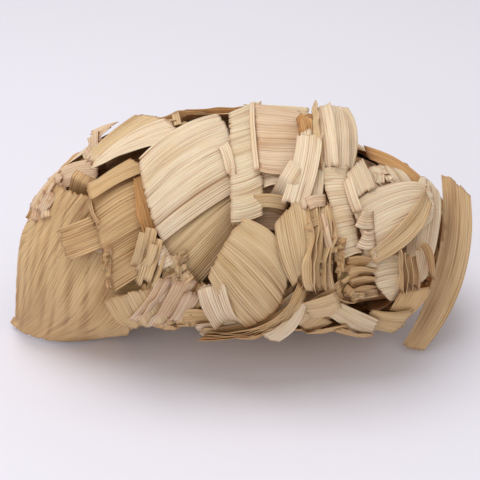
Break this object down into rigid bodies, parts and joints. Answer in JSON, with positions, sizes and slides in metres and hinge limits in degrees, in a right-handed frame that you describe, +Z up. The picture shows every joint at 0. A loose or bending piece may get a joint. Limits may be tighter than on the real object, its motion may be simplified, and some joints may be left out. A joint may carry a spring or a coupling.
{
  "type": "bundle of corn husks",
  "caption": "Bundle of dried corn husks lying on its side: thin ribbed leaves wrapped round one another into a fat roll, with broad leaves hanging over its ends.",
  "frame": {"origin": "middle of the bundle's box, on the surface that the bundle lies on", "axes": "+X along the bundle, from the hanging broad leaf to the slender one; +Y to the back; +Z up"},
  "size_m": [0.3642, 0.2026, 0.1861],
  "materials": {
    "cream_husk": "dry, matt, finely ribbed along the leaf",
    "pale_husk": "dry, matt, finely ribbed along the leaf",
    "straw_husk": "dry, matt, finely ribbed along the leaf",
    "tan_husk": "dry, matt, finely ribbed along the leaf",
    "olive_husk": "dry, matt, finely ribbed along the leaf",
    "pinkish_husk": "dry, matt, finely ribbed along the leaf",
    "brown_husk": "dry, matt, finely ribbed along the leaf"
  },
  "bodies": {
    "root": {"back_left_husk": "cream_husk", "back_low_left": "tan_husk", "back_low_right": "straw_husk", "back_middle_husk": "straw_husk", "back_right_husk": "cream_husk", "banded_husk": "cream_husk", "barrel_husk": "straw_husk", "barrel_tuck": "pale_husk", "base_wrap_lower": "straw_husk", "base_wrap_middle": "cream_husk", "base_wrap_upper": "straw_husk", "centre_husk": "cream_husk", "cone_husk": "pale_husk", "core_roll": "tan_husk", "crown_back": "pale_husk", "crown_front": "pinkish_husk", "crown_left": "pale_husk", "curled_edge": "brown_husk", "end_arch": "brown_husk", "end_wrap": "cream_husk", "fan_husk": "straw_husk", "flap_back": "cream_husk", "flap_front": "cream_husk", "floor_husk": "tan_husk", "left_apron": "tan_husk", "left_belly_husk": "straw_husk", "left_frill": "pinkish_husk", "left_panel_low": "tan_husk", "left_panel_top": "tan_husk", "left_roll": "straw_husk", "left_shoulder": "pinkish_husk", "left_tab": "pinkish_husk", "low_apron": "tan_husk", "low_band": "straw_husk", "low_flap": "tan_husk", "mid_base": "tan_husk", "mid_base_low": "straw_husk", "neck_husk": "cream_husk", "neck_shade": "brown_husk", "olive_shade": "olive_husk", "pale_base": "pale_husk", "pale_spear": "cream_husk", "right_base": "olive_husk", "right_belly_husk": "tan_husk", "right_curl": "straw_husk", "right_fan": "cream_husk", "right_roll": "pinkish_husk", "slant_husk": "straw_husk", "slender_husk": "straw_husk", "stack_low": "pinkish_husk", "stack_olive": "olive_husk", "tall_husk": "cream_husk", "tongue": "cream_husk", "top_left_scrap": "pinkish_husk", "under_left_back": "straw_husk", "under_left_front": "tan_husk", "under_middle_front": "olive_husk", "under_right_back": "pinkish_husk", "under_right_front": "tan_husk", "yellow_spear": "straw_husk"}
  },
  "joints": []
}
